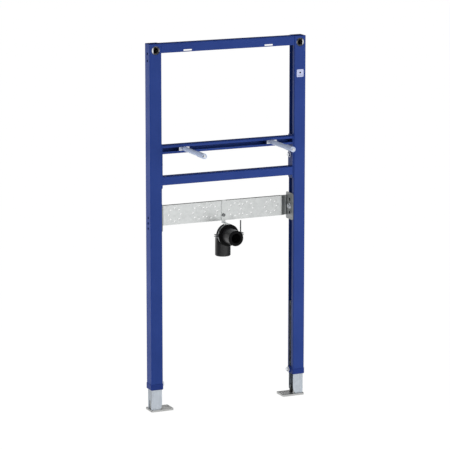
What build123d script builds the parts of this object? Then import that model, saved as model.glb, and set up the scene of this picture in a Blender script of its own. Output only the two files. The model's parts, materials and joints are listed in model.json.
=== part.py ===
from build123d import *
import os

# Washbasin installation frame: two C-profile posts on telescopic legs, a top rail, a traverse
# with the basin studs, a perforated tap plate and a clamped waste bend.
# Millimetres. X to the right, Y to the wall behind, Z up. The origin is on the floor, at the
# frame's centre line, in the plane of the posts' front faces.

# Posts
frame_width = 540.0        # over the outer sides of the posts
post_length = 1110.0       # underside of the end guide to the top
post_width = 40.0
post_depth = 40.0
post_wall = 2.0
post_front_lip = 14.0
post_rear_lip = 5.0        # the slot lies between the lips
post_corner = 3.0          # outside bend radius
side_hole_d = 9.0          # for screws into timber studs
side_hole_drops = (31.0, 53.0, 552.0, 569.0, 586.0)   # below the top of the post

# Wall anchor sockets at the top corners
anchor_drop = 20.0
anchor_hole_d = 28.0
anchor_bore_d = 10.5
anchor_mouth_d = 17.0
anchor_mouth_depth = 24.0
anchor_recess = 1.5        # socket face behind the post's front
anchor_washer_d = 25.0
anchor_washer_thickness = 1.2
anchor_slot_width = 14.5   # upright slot in the washer
anchor_slot_height = 22.0
anchor_slot_offset = 1.4   # slot towards the middle of the frame

# Level mark on the right post
mark_drop = 120.0
mark_width = 24.0
mark_height = 24.5
mark_corner = 3.0
mark_thickness = 0.5

# Top rail
top_rail_height = 29.0
top_rail_back_height = 18.0
top_rail_depth = 30.0
top_rail_setback = 2.0
rail_wall = 2.0
rail_corner = 2.5
slit_length = 29.0
slit_height = 6.0
slit_lip = 1.5             # strip left under the slit
slit_x = 140.0

# Legs and feet
leg_extension = 65.0       # foot plate to end guide, as set
leg_length = 305.0
leg_wall = 2.5
leg_corner = 3.0
leg_clearance = 0.5        # leg to the walls of the post
leg_arch_width = 15.0      # opening at the base of the leg's outer wall
leg_arch_height = 30.0
foot_length = 76.0
foot_depth = 52.0
foot_thickness = 6.0
foot_front = -2.0          # front edge of the foot plate
foot_corner = 4.0
foot_hole_d = 12.0
foot_hole_inset = 11.0     # from the inner end
foot_hole_y = 30.0
tongue_width = 24.0        # tab that stands up inside the leg
tongue_height = 28.0
tongue_thickness = 3.0
toe_width = 6.0            # corner cut at the base of the leg's flanges
toe_height = 14.0
gusset_base = 12.0         # triangles between foot plate and flanges
gusset_height = 22.0
gusset_thickness = 3.0

# End guide around the lower end of each post, with the leg's clamp bolt
guide_height = 19.0
guide_wall = 1.2
guide_floor = 2.0
guide_fit = 0.1
guide_chamfer = 1.8
clamp_rise = 13.5          # bolt axis above the underside of the guide
clamp_boss_d = 25.0
clamp_boss_height = 3.5
clamp_boss_chamfer = 2.5
clamp_reach = 20.0         # shank below the boss's face

# Hexagon bolts along X, with their washers
bolt_d = 8.0
bolt_flats = 13.0
bolt_head = 5.5
washer_d = 18.0
washer_thickness = 1.6
bolt_fit = 0.2             # shank to hole, on the radius
nut_overlap = 1.0          # nut plate behind each lip of the post
nut_thickness = 5.0

# Traverse: two rails between side plates that slide on the posts' lips
traverse_drop = 389.0      # top of the post to the middle of the side plates
side_plate_height = 143.0
side_plate_depth = 34.0
side_plate_thickness = 3.0
side_plate_corner = 7.0
slide_gap = 0.3            # side plate to lip, and clamp nut to lip
traverse_setback = 4.0     # rail fronts behind the post fronts
traverse_rail_depth = 30.0
basin_rail_height = 27.0
basin_rail_lip = 7.5
basin_rail_rise = 53.0     # rail axis above the middle of the side plates
lower_rail_height = 27.0
lower_rail_drop = 46.5     # rail axis below the middle of the side plates
traverse_rail_wall = 2.5
traverse_nut_height = 30.0
traverse_bolt_rise = 4.0   # bolt above the middle of the side plates
traverse_bolt_end = 2.0    # thread that stands out of the nut

# Basin studs in the upper rail
stud_spacing = 305.0
stud_d = 10.0              # thread at the bare end
stud_shank_d = 9.0         # behind the bare end
stud_reach = 156.0         # stud end in front of the post fronts
stud_bare_end = 3.0
stud_chamfer = 1.0
sleeve_d = 14.5
sleeve_fit = 0.2           # sleeve to shank, on the radius
cap_d = 17.0
cap_length = 46.0
block_length = 35.0
block_height = 20.0
block_back = 6.0           # thickness behind the rail's lips
block_gap = 0.3            # block to rail
block_nose = 0.5           # nose in front of the lips

# Perforated tap plate behind the posts, on brackets
plate_drop = 165.0         # middle of the side plates to the plate's centre line
plate_height = 64.0
plate_front = 43.0
plate_thickness = 2.0
plate_flange = 12.0
plate_end = 5.0            # flat end on the bracket
plate_joggle = 13.0        # length of each sloping step
plate_step = 4.0           # how far the ends step back
plate_end_gap = 2.0
ring_pitch = 42.0
ring_places = (1, 2, 4)    # hole rings at these multiples of the pitch, both sides
ring_d = 42.0
ring_holes = 8
ring_hole_d = 4.8
bracket_height = 87.0
bracket_thickness = 3.0
bracket_front = 3.0
bracket_flange_gap = 1.0   # bracket's flange to the plate's flanges
bracket_corner = 5.0
bracket_hole_d = 10.0
bracket_hole_spacing = 42.5
bracket_nut_height = 15.0

# Waste bend and its clip
bend_d = 50.0
bend_wall = 3.0
bend_radius = 27.0
bend_drop = 73.0           # the plate's centre line to the level axis
bend_leg_y = 46.0          # axis of the upright leg
bend_leg_length = 74.0     # level axis to the spigot's end
bend_mouth = 57.0          # mouth in front of the post fronts
bend_chamfer = 2.0         # around the spigot's end
seal_bore_d = 32.0
seal_flange = 3.0
seal_chamfer = 1.0
seal_length = 20.0
seal_fit = 0.1
clip_width = 17.0
clip_band = 2.0
clip_split = 3.0           # gap between the halves at the lugs
lining_thickness = 6.0
lining_width = 20.0
lining_lip = 1.5           # lips beside the band
lining_fit = 0.1
lug_thickness = 2.5
hook_lug_reach = 43.5      # from the axis, to the left
screw_lug_reach = 53.0     # from the axis, to the right
hook_screw_x = 38.5
clip_screw_x = 45.5
clip_screw_d = 4.5
clip_screw_flats = 8.0
clip_screw_head = 3.5
hook_screw_rise = 6.0
clip_screw_rise = 44.0     # free thread above the axis
hanger_width = 13.0
hanger_thickness = 2.5
hanger_bend = 4.0
hanger_rise = 2.0          # top of the hanger over the plate
hanger_bolt_flats = 10.0
hanger_bolt_head = 4.0
hanger_bolt_d = 6.0
hanger_bolt_drop = 14.0    # below the plate's centre line

over = 1.0                 # how far cutters stand out

# Places that follow from these sizes
post_foot = foot_thickness + leg_extension
post_top = post_foot + post_length
half_width = frame_width / 2
inner_x = half_width - post_width          # face of the posts' lips
post_x = half_width - post_width / 2
post_y = post_depth / 2
slot_y = (post_front_lip + post_depth - post_rear_lip) / 2     # middle of the posts' slots
nut_depth = post_depth - post_front_lip - post_rear_lip + 2 * nut_overlap
leg_outer = half_width - post_wall - leg_clearance
leg_inner = inner_x + post_wall + leg_clearance
leg_depth = post_depth - 2 * (post_wall + leg_clearance)
leg_edge = post_corner - post_wall / 2 - leg_clearance    # follows the post's inner radius
guide_face = inner_x - guide_fit - guide_wall - clamp_boss_height
traverse_z = post_top - traverse_drop
basin_rail_z = traverse_z + basin_rail_rise
lower_rail_z = traverse_z - lower_rail_drop
traverse_bolt_z = traverse_z + traverse_bolt_rise
traverse_half = inner_x - slide_gap - side_plate_thickness
traverse_nut_x = inner_x + post_wall + slide_gap
traverse_bolt_tip = traverse_nut_x + nut_thickness + traverse_bolt_end
cap_front = stud_bare_end - stud_reach
cap_back = cap_front + cap_length
plate_z = traverse_z - plate_drop
plate_half = inner_x - bracket_thickness - plate_end_gap
plate_flat = plate_half - plate_end - plate_joggle
plate_back = plate_front + plate_step + plate_thickness
bend_z = plate_z - bend_drop
clip_y = bend_leg_y - bend_radius - lining_width / 2   # just past the curve
clip_in = bend_d / 2 + lining_thickness + 2 * lining_fit
clip_out = clip_in + clip_band
hanger_z = bend_z + clip_out               # underside of the hanger's arm
hanger_front = clip_y - clip_width / 2


def rod_x(diameter, x0, x1, y, z):
    """Round bar along X."""
    return Pos((x0 + x1) / 2, y, z) * Cylinder(diameter / 2, abs(x1 - x0), rotation=(0, 90, 0))


def rod_y(diameter, y0, y1, x, z):
    """Round bar along Y."""
    return Pos(x, (y0 + y1) / 2, z) * Cylinder(diameter / 2, abs(y1 - y0), rotation=(90, 0, 0))


def rod_z(diameter, z0, z1, x, y):
    """Round bar along Z."""
    return Pos(x, y, (z0 + z1) / 2) * Cylinder(diameter / 2, abs(z1 - z0))


def block(x0, x1, y0, y1, z0, z1):
    """Box between two corners."""
    centre = Pos((x0 + x1) / 2, (y0 + y1) / 2, (z0 + z1) / 2)
    return centre * Box(abs(x1 - x0), abs(y1 - y0), abs(z1 - z0))


def along_x(profile, x0, x1):
    """Carry a profile drawn in Y and Z along X."""
    return extrude(Plane.YZ.offset(x0) * profile, amount=x1 - x0)


def along_y(profile, y0, y1):
    """Carry a profile drawn in X and Z along Y."""
    return extrude(Plane.XZ.offset(-y1) * profile, amount=y1 - y0)


def lipped_channel(depth, height, wall, low_lip, high_lip, corner):
    """C profile with its slot on the low X side of the sketch, between a low and a high lip."""
    outside = RectangleRounded(depth, height, corner)
    inside = RectangleRounded(depth - 2 * wall, height - 2 * wall, corner - wall / 2)
    slot = Pos(-depth / 2, (low_lip - high_lip) / 2) * Rectangle(3 * wall, height - low_lip - high_lip)
    return outside - inside - slot


def channel(web, leg, wall, corner):
    """U profile: the web's outer face on the X axis of the sketch, the legs downwards."""
    outside = Pos(0, -leg / 2) * Rectangle(web, leg)
    outside = fillet(outside.vertices().group_by(Axis.Y)[-1], corner)
    return outside - Pos(0, -leg / 2 - wall) * Rectangle(web - 2 * wall, leg)


def hexagon(flats):
    """Hexagon with two flats level."""
    return RegularPolygon(flats / 2, 6, major_radius=False, rotation=30)


def bolt_x(seat, tip, z):
    """Hexagon bolt with its washer, in the post's slot, head towards the middle of the frame."""
    under = seat - washer_thickness
    head = along_x(Pos(slot_y, z) * hexagon(bolt_flats), under - bolt_head, under)
    return head + rod_x(washer_d, under, seat, slot_y, z) + rod_x(bolt_d, under, tip, slot_y, z)


def bolt_hole_x(z):
    """Cutter for such a bolt, through all that it passes."""
    return rod_x(bolt_d + 2 * bolt_fit, 0, half_width, slot_y, z)


def nut_plate(x0, height, z):
    """Plate across the post's slot, behind both lips."""
    y0, y1 = slot_y - nut_depth / 2, slot_y + nut_depth / 2
    return block(x0, x0 + nut_thickness, y0, y1, z - height / 2, z + height / 2)


def make_post():
    """C-profile post with the anchor holes and the side screw holes."""
    profile = lipped_channel(post_width, post_depth, post_wall, post_front_lip, post_rear_lip, post_corner)
    post = Pos(post_x, post_y, post_foot + guide_floor) * extrude(profile, amount=post_length - guide_floor)
    anchor_z = post_top - anchor_drop
    cuts = [
        rod_y(anchor_hole_d, -over, post_y, post_x, anchor_z),
        rod_y(anchor_bore_d, post_y, post_depth + over, post_x, anchor_z),
    ]
    outside = half_width + over
    cuts += [rod_x(side_hole_d, post_x, outside, post_y, post_top - drop) for drop in side_hole_drops]
    return post - cuts


def make_anchor_socket():
    """Moulded socket behind the corner hole, seated on the post's rear wall."""
    z = post_top - anchor_drop
    back = post_depth - post_wall
    body = rod_y(anchor_hole_d - 2 * bolt_fit, anchor_recess, back, post_x, z)
    mouth = rod_y(anchor_mouth_d, anchor_recess - over, anchor_mouth_depth, post_x, z)
    return body - mouth - rod_y(anchor_bore_d, 0, back + over, post_x, z)


def make_anchor_washer():
    """Washer on the socket's face, with an upright slot to set the anchor by."""
    z = post_top - anchor_drop
    slot = SlotOverall(anchor_slot_height, anchor_slot_width, rotation=90)
    washer = Pos(post_x, z) * Circle(anchor_washer_d / 2) - Pos(post_x - anchor_slot_offset, z) * slot
    return along_y(washer, anchor_recess - anchor_washer_thickness, anchor_recess)


def make_end_guide():
    """Collar under the post that guides the leg, with a boss for the clamp bolt."""
    around = 2 * (guide_fit + guide_wall)
    outside = RectangleRounded(post_width + around, post_depth + around, post_corner + guide_wall)
    body = extrude(outside, amount=guide_height)
    body = chamfer(body.faces().sort_by(Axis.Z)[0].edges(), guide_chamfer)
    recess = RectangleRounded(post_width + 2 * guide_fit, post_depth + 2 * guide_fit, post_corner)
    body -= Pos(0, 0, guide_floor) * extrude(recess, amount=guide_height)
    body -= extrude(Rectangle(post_width - 2 * post_wall, post_depth - 2 * post_wall), amount=guide_floor)
    z = post_foot + clamp_rise
    boss = rod_x(clamp_boss_d, guide_face, inner_x - guide_fit, slot_y, z)
    boss = chamfer(boss.edges().sort_by(Axis.X)[0], clamp_boss_chamfer)
    boss -= block(0, inner_x, 0, post_depth, 0, post_foot)
    return Pos(post_x, post_y, post_foot) * body + boss - bolt_hole_x(z)


def make_leg():
    """U-profile leg that slides in the post, open towards the middle of the frame."""
    width = leg_outer - leg_inner
    outside = fillet(Rectangle(width, leg_depth).vertices().group_by(Axis.X)[-1], leg_corner)
    outside = fillet(outside.vertices().group_by(Axis.X)[0], leg_edge)
    profile = outside - Pos(-leg_wall, 0) * Rectangle(width, leg_depth - 2 * leg_wall)
    leg = Pos(leg_outer - width / 2, post_y, foot_thickness) * extrude(profile, amount=leg_length)
    half = leg_arch_width / 2
    shoulder = foot_thickness + leg_arch_height - half
    arch = block(post_x, half_width, post_y - half, post_y + half, foot_thickness, shoulder)
    arch += rod_x(leg_arch_width, post_x, half_width, post_y, shoulder)
    toe = Polyline(
        (leg_inner, foot_thickness), (leg_inner + toe_width, foot_thickness),
        (leg_inner, foot_thickness + toe_height), close=True,
    )
    return leg - arch - along_y(make_face(toe), 0, post_depth)


def make_foot_plate():
    """Floor plate with one anchor hole, a tab inside the leg and two gussets at its open side."""
    outline = RectangleRounded(foot_length, foot_depth, foot_corner)
    place = Pos(half_width - foot_length / 2, foot_front + foot_depth / 2, 0)
    plate = place * extrude(outline, amount=foot_thickness)
    hole_x = half_width - foot_length + foot_hole_inset
    plate -= rod_z(foot_hole_d, -over, foot_thickness + over, hole_x, foot_hole_y)
    outer = leg_outer - leg_wall
    radius = tongue_width / 2
    top = foot_thickness + tongue_height - radius
    tab = block(outer - tongue_thickness, outer, post_y - radius, post_y + radius, foot_thickness / 2, top)
    tab += rod_x(tongue_width, outer - tongue_thickness, outer, post_y, top)
    triangle = make_face(Polyline(
        (leg_inner, foot_thickness), (leg_inner + gusset_base, foot_thickness),
        (leg_inner + gusset_base / 2, foot_thickness + gusset_height), close=True,
    ))
    flange = leg_depth / 2 - leg_wall
    front = along_y(triangle, post_y - flange, post_y - flange + gusset_thickness)
    rear = along_y(triangle, post_y + flange - gusset_thickness, post_y + flange)
    return plate + tab + front + rear


def make_top_rail():
    """Channel between the post tops, open below, with a slit near each end."""
    profile = channel(top_rail_depth, top_rail_height, rail_wall, rail_corner)
    spare = top_rail_height - top_rail_back_height
    back = Pos(top_rail_depth / 2, -top_rail_height + spare / 2) * Rectangle(3 * rail_wall, spare)
    y = top_rail_setback + top_rail_depth / 2
    rail = along_x(Pos(y, post_top) * (profile - back), -inner_x, inner_x)
    z = post_top - top_rail_height + slit_lip
    half = slit_length / 2
    through = top_rail_setback + 2 * rail_wall
    return rail - [block(x - half, x + half, 0, through, z, z + slit_height) for x in (-slit_x, slit_x)]


def make_basin_rail():
    """C rail open to the front, where the basin studs slide."""
    profile = lipped_channel(
        traverse_rail_depth, basin_rail_height, traverse_rail_wall,
        basin_rail_lip, basin_rail_lip, rail_corner,
    )
    place = Pos(traverse_setback + traverse_rail_depth / 2, basin_rail_z)
    return along_x(place * profile, -traverse_half, traverse_half)


def make_lower_rail():
    """Channel with its web to the front."""
    profile = channel(lower_rail_height, traverse_rail_depth, traverse_rail_wall, rail_corner)
    place = Pos(traverse_setback, lower_rail_z) * Rot(0, 0, 90)
    return along_x(place * profile, -traverse_half, traverse_half)


def make_side_plate():
    """Plate that carries both rails and slides on the post's lips."""
    outline = RectangleRounded(side_plate_depth, side_plate_height, side_plate_corner)
    plate = along_x(Pos(post_y, traverse_z) * outline, traverse_half, inner_x - slide_gap)
    return plate - bolt_hole_x(traverse_bolt_z)


def make_traverse_nut():
    """Nut plate behind the post's lips that draws the side plate to them."""
    return nut_plate(traverse_nut_x, traverse_nut_height, traverse_bolt_z) - bolt_hole_x(traverse_bolt_z)


def stud_hole(y0, y1):
    """Cutter for the stud's shank, past both ends."""
    return rod_y(stud_shank_d + 2 * sleeve_fit, y0 - over, y1 + over, stud_spacing / 2, basin_rail_z)


def make_stud_block():
    """Sliding block: its nose fills the rail's slot and its back lies behind the lips."""
    lips_back = traverse_setback + traverse_rail_wall
    nose_front = traverse_setback - block_nose
    nose_half = basin_rail_height / 2 - basin_rail_lip - block_gap
    back_front = lips_back + block_gap
    x0, x1 = stud_spacing / 2 - block_length / 2, stud_spacing / 2 + block_length / 2
    body = block(x0, x1, nose_front, back_front, basin_rail_z - nose_half, basin_rail_z + nose_half)
    half = block_height / 2
    body += block(x0, x1, back_front, back_front + block_back, basin_rail_z - half, basin_rail_z + half)
    return body - stud_hole(nose_front, back_front + block_back)


def make_stud():
    """Threaded stud: a shank from the sliding block, and its bare end."""
    back = traverse_setback + traverse_rail_wall + block_gap + block_back
    end = rod_y(stud_d, -stud_reach, cap_front, stud_spacing / 2, basin_rail_z)
    end = chamfer(end.edges().sort_by(Axis.Y)[0], stud_chamfer)
    return end + rod_y(stud_shank_d, cap_front, back, stud_spacing / 2, basin_rail_z)


def stud_tube(diameter, y0, y1):
    """Tube on the stud."""
    return rod_y(diameter, y0, y1, stud_spacing / 2, basin_rail_z) - stud_hole(y0, y1)


def make_tap_plate():
    """Perforated plate: flanged above and below, with ends that step back to the brackets."""
    rear = plate_front + plate_step
    right = [(plate_flat, plate_front), (plate_flat + plate_joggle, rear), (plate_half, rear)]
    front = [(-x, y) for x, y in reversed(right)] + right
    back = [(x, y + plate_thickness) for x, y in reversed(front)]
    outline = make_face(Polyline(*front, *back, close=True))
    plate = Pos(0, 0, plate_z - plate_height / 2) * extrude(outline, amount=plate_height)
    for edge in (-1, 1):
        z = plate_z + edge * plate_height / 2
        flange_back = plate_front + plate_flange
        plate += block(-plate_flat, plate_flat, plate_front, flange_back, z, z - edge * plate_thickness)
    rings = [side * place * ring_pitch for place in ring_places for side in (-1, 1)]
    spots = {
        (round(x + place.position.X, 3), round(place.position.Y, 3))
        for x in rings
        for place in PolarLocations(ring_d / 2, ring_holes)
    }
    return plate - [
        rod_y(ring_hole_d, plate_front - over, plate_front + 2 * plate_thickness, x, plate_z + z)
        for x, z in sorted(spots)
    ]


def make_bracket():
    """Angle on the post's lips that carries one end of the tap plate."""
    depth = plate_back + bracket_thickness - bracket_front
    outline = RectangleRounded(depth, bracket_height, bracket_corner)
    place = Pos(bracket_front + depth / 2, plate_z)
    body = along_x(place * outline, inner_x - bracket_thickness, inner_x)
    half = plate_height / 2
    back = plate_back + bracket_thickness
    flange = plate_flat + bracket_flange_gap
    body += block(flange, inner_x, plate_back, back, plate_z - half, plate_z + half)
    spread = bracket_hole_spacing / 2
    holes = [rod_x(bracket_hole_d, 0, half_width, slot_y, plate_z + rise) for rise in (-spread, spread)]
    return body - holes - bolt_hole_x(plate_z)


def make_bracket_bolt():
    """Bolt and nut that hold the bracket in the post's slot."""
    lips_back = inner_x + post_wall
    nut = nut_plate(lips_back, bracket_nut_height, plate_z)
    return bolt_x(inner_x - bracket_thickness, lips_back + nut_thickness, plate_z) + nut


def make_hanger():
    """Bent strip on the plate's front, with an arm over the clip."""
    face = plate_front - hanger_thickness
    top = plate_z + plate_height / 2 + hanger_rise
    half = hanger_width / 2
    arm_top = hanger_z + hanger_thickness
    profile = make_face(Polyline(
        (hanger_front, hanger_z), (plate_front, hanger_z), (plate_front, top),
        (face, top), (face, arm_top), (hanger_front, arm_top), close=True,
    ))
    corner = profile.vertices().sort_by_distance((face, arm_top))[0]
    body = along_x(fillet(corner, hanger_bend), -half, half)
    z = plate_z - hanger_bolt_drop
    return body - rod_y(hanger_bolt_d + 2 * bolt_fit, 0, plate_front + over, 0, z)


def make_hanger_bolt():
    """Bolt that holds the hanger to the plate."""
    z = plate_z - hanger_bolt_drop
    seat = plate_front - hanger_thickness
    head = along_y(Pos(0, z) * hexagon(hanger_bolt_flats), seat - hanger_bolt_head, seat)
    return head + rod_y(hanger_bolt_d, seat, plate_front, 0, z)


def make_clip_half(side):
    """Half of the clip's band with its two lugs. Side is 1 for the upper half, -1 for the lower."""
    ring = Circle(clip_out) - Circle(clip_in)
    lug_z = clip_split / 2 + lug_thickness / 2
    hook = Pos(-(hook_lug_reach + clip_in) / 2, lug_z)
    hook *= Rectangle(hook_lug_reach - clip_in, lug_thickness)
    screw = Pos((screw_lug_reach + clip_in) / 2, lug_z)
    screw *= Rectangle(screw_lug_reach - clip_in, lug_thickness)
    span = 2 * clip_out
    half = ring - Pos(0, clip_split / 2 - span / 2) * Rectangle(span, span)
    profile = (half + hook + screw) - Circle(clip_in)
    if side < 0:
        profile = mirror(profile, about=Plane.XZ)
    band = along_y(Pos(0, bend_z) * profile, clip_y - clip_width / 2, clip_y + clip_width / 2)
    screws = [
        rod_z(clip_screw_d + 2 * bolt_fit, bend_z - clip_out, bend_z + clip_out, x, clip_y)
        for x in (-hook_screw_x, clip_screw_x)
    ]
    return band - screws


def make_clip_lining():
    """Rubber lining between the band and the bend, with a lip beside each edge of the band."""
    inside = bend_d / 2 + lining_fit
    outside = inside + lining_thickness
    groove = Circle(outside + lining_lip) - Circle(outside)
    y0, y1 = clip_y - lining_width / 2, clip_y + lining_width / 2
    band = clip_width / 2 + lining_fit
    ring = along_y(Pos(0, bend_z) * (Circle(outside + lining_lip) - Circle(inside)), y0, y1)
    return ring - along_y(Pos(0, bend_z) * groove, clip_y - band, clip_y + band)


def make_clip_screws():
    """The short hook screw and the long clamp screw, heads under the lugs."""
    under = bend_z - clip_split / 2 - lug_thickness
    screws = []
    for x, rise in ((-hook_screw_x, hook_screw_rise), (clip_screw_x, clip_screw_rise)):
        head = extrude(Pos(x, clip_y, under) * hexagon(clip_screw_flats), amount=-clip_screw_head)
        screws.append(head + rod_z(clip_screw_d, under, bend_z + rise, x, clip_y))
    return Compound(children=screws)


def make_waste_bend():
    """Pipe bend: a spigot downwards and a level mouth to the front."""
    low = bend_z - bend_leg_length
    mouth = seal_flange - bend_mouth
    corner = (0, bend_leg_y, bend_z)
    path = FilletPolyline((0, bend_leg_y, low), corner, (0, mouth, bend_z), radius=bend_radius)
    section = Plane(origin=(0, bend_leg_y, low)) * (Circle(bend_d / 2) - Circle(bend_d / 2 - bend_wall))
    bend = sweep(section, path=path)
    return chamfer(bend.edges().group_by(Axis.Z)[0].sort_by(SortBy.RADIUS)[-1], bend_chamfer)


def make_bend_seal():
    """Lip seal in the bend's mouth, for the trap's outlet pipe."""
    face = -bend_mouth
    rim = face + seal_flange
    inside = bend_d - 2 * bend_wall - 2 * seal_fit
    seal = rod_y(bend_d, face, rim, 0, bend_z) + rod_y(inside, rim, rim + seal_length, 0, bend_z)
    seal = chamfer(seal.edges().sort_by(Axis.Y)[0], seal_chamfer)
    return seal - rod_y(seal_bore_d, face - over, rim + seal_length + over, 0, bend_z)


def make_level_mark():
    """Plate at the one-metre level."""
    half_x, half_z = mark_width / 2, mark_height / 2
    z = post_top - mark_drop
    mark = block(post_x - half_x, post_x + half_x, -mark_thickness, 0, z - half_z, z + half_z)
    return fillet(mark.edges().filter_by(Axis.Y), mark_corner)


# Pieces on the right-hand side, each with its mirror image on the left
paired = {
    "post": make_post(),
    "anchor_socket": make_anchor_socket(),
    "anchor_washer": make_anchor_washer(),
    "end_guide": make_end_guide(),
    "leg_clamp_bolt": bolt_x(guide_face, guide_face + clamp_reach, post_foot + clamp_rise),
    "leg": make_leg(),
    "foot_plate": make_foot_plate(),
    "side_plate": make_side_plate(),
    "traverse_bolt": bolt_x(traverse_half, traverse_bolt_tip, traverse_bolt_z),
    "traverse_nut": make_traverse_nut(),
    "stud": make_stud(),
    "stud_block": make_stud_block(),
    "stud_sleeve": stud_tube(sleeve_d, cap_back, traverse_setback - block_nose),
    "stud_cap": stud_tube(cap_d, cap_front, cap_back),
    "plate_bracket": make_bracket(),
    "bracket_bolt": make_bracket_bolt(),
}
single = {
    "level_mark": make_level_mark(),
    "top_rail": make_top_rail(),
    "basin_rail": make_basin_rail(),
    "lower_rail": make_lower_rail(),
    "tap_plate": make_tap_plate(),
    "clip_hanger": make_hanger(),
    "hanger_bolt": make_hanger_bolt(),
    "clip_upper_half": make_clip_half(1),
    "clip_lower_half": make_clip_half(-1),
    "clip_lining": make_clip_lining(),
    "clip_screws": make_clip_screws(),
    "waste_bend": make_waste_bend(),
    "bend_seal": make_bend_seal(),
}

nodes = dict(single)
for name, solid in paired.items():
    nodes["right_" + name] = solid
    nodes["left_" + name] = mirror(solid, about=Plane.YZ)

os.makedirs("parts", exist_ok=True)
for name, solid in nodes.items():
    export_step(solid, f"parts/{name}.step")
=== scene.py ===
import json
from math import cos, pi, radians, sin

import bmesh
import bpy
import numpy as np
from bpy.props import FloatProperty, FloatVectorProperty, IntProperty, PointerProperty
from bpy.types import Operator, Panel, PropertyGroup
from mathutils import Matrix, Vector


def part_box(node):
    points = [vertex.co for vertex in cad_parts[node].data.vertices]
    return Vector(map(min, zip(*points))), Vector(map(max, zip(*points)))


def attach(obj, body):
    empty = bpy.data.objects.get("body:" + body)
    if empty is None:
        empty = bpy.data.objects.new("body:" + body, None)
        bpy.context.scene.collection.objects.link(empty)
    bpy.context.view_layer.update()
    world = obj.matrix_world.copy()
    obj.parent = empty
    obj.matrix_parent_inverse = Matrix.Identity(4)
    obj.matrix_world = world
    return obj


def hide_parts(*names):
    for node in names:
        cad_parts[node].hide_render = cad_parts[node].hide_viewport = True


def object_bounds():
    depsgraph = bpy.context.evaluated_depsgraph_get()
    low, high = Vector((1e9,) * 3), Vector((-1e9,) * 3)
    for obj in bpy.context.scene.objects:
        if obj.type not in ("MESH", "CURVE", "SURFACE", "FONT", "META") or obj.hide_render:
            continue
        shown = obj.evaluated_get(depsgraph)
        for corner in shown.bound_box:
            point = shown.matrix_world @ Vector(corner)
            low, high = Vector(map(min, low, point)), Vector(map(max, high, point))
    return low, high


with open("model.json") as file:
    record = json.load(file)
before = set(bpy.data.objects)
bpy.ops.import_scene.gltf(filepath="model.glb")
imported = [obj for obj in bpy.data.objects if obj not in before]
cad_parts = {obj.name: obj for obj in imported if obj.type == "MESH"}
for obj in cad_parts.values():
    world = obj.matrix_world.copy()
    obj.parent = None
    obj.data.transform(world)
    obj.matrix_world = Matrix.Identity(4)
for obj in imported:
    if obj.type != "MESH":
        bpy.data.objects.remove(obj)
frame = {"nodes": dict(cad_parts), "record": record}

bl_info = {
    "name": "Basin installation frame",
    "version": (1, 0, 0),
    "blender": (4, 5, 0),
    "location": "3D View > Sidebar > Basin frame",
    "description": "Finishes, fasteners and studio for a washbasin installation frame",
    "category": "Object",
}

CAD_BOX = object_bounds()
MM = 0.001
X_AXIS, Y_AXIS, Z_AXIS = np.eye(3)

# Bolts along X, and rails, with the bodies they ride on
SIDES = ("left", "right")
SIDE_BOLTS = {"leg_clamp_bolt": "frame", "traverse_bolt": "traverse", "bracket_bolt": "frame"}
RAILS = {"top_rail": "frame", "basin_rail": "traverse", "lower_rail": "traverse"}

# Start of the settings' names on the scene, and end of the materials' names
PREFIX = "basin_frame_"
FINISH = "_finish"

# Meshes: points round a turned piece and round a weld bead, rows or points to a pitch, a rib and a ripple,
# least rows of a thread, distances at which points merge and slivers go, angle from which an edge is sharp
AROUND = 48
BEAD_AROUND = 14
PITCH_ROWS = 8
RIB_POINTS = 8
RIPPLE_ROWS = 6
LEAST_ROWS = 4
MERGE = 1e-6
SLIVER = 1e-7
CREASE = radians(35)

# Bolts: flat top of a head as a share of its flats, slope of its crown, edge of a washer as a share of its
# thickness, and end of a tip as a share of the thread's root
HEAD_FLAT = 0.95
HEAD_SLOPE = radians(30)
WASHER_EDGE = 0.15
TIP_END = 0.8

# Plates: how far a circle is blown up before it is cut to a square, which leaves the corners slanted
SQUARENESS = 1.6

# Weld beads: share of the radius that swells, length of the drawn-in ends as a share of the bead, and as
# shares of the radius the least one at the ends and the depth that a bead sinks into its rail
BEAD_SWELL = 0.15
BEAD_TAPER = 0.125
BEAD_END = 0.4
BEAD_SINK = 0.3

# Lining: stretch of the rear lip that is drawn in, in widths of the hanger, and how steeply it comes back
DRAWN_WIDTHS = 1.4
DRAWN_SLOPE = 3

# Patterns: values between which most of a noise lies, shades of the mottle, and stretch, scale and shade of
# the streaks
NOISE_SPAN = (0.3, 0.7)
MOTTLE_DARK, MOTTLE_LIGHT = 0.93, 1.06
STREAK_STRETCH = (1.0, 1.0, 0.02)
STREAK_SCALE = 420.0
STREAK_SHADE = 0.55

# Dark cards for the reflections: (x, y) of both ends, and the heights of the lower and the upper edge
FLAG_TINT = (0.02, 0.02, 0.022)
FLAGS = {
    "flag_right": ((1.5, -1.9), (1.5, 2.5), 0.0, 3.0),
    "flag_left": ((-1.6, -1.6), (-1.6, 1.0), 0.0, 3.0),
    "flag_back": ((-3.0, 2.0), (3.5, 2.0), 0.95, 4.0),
    "flag_low": ((-0.64, 0.45), (-0.49, 0.45), -0.13, 0.02),
    "flag_front": ((-1.8, -2.5), (-0.7, -3.0), 0.0, 2.5),
}

# Lamps: place, width, height, power in watts, and whether reflections show it; all look at one point
LAMP_AIM = (0.0, 0.02, 0.6)
LAMPS = {
    "front_lamp": ((-2.2, -4.0, 0.5), 2.4, 2.4, 20.0, True),
    "right_lamp": ((0.75, -1.35, 0.5), 0.8, 1.8, 14.5, False),
    "side_strip": ((-1.0, 0.02, 0.6), 0.06, 1.3, 3.6, False),
}


# Settings

def colour(label, text, value):
    """A colour property in linear values."""
    return FloatVectorProperty(name=label, description=text, subtype="COLOR", size=3, min=0, max=1,
                               default=value)


def length(label, text, value):
    """A length property in metres."""
    return FloatProperty(name=label, description=text, subtype="DISTANCE", unit="LENGTH", default=value)


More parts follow.
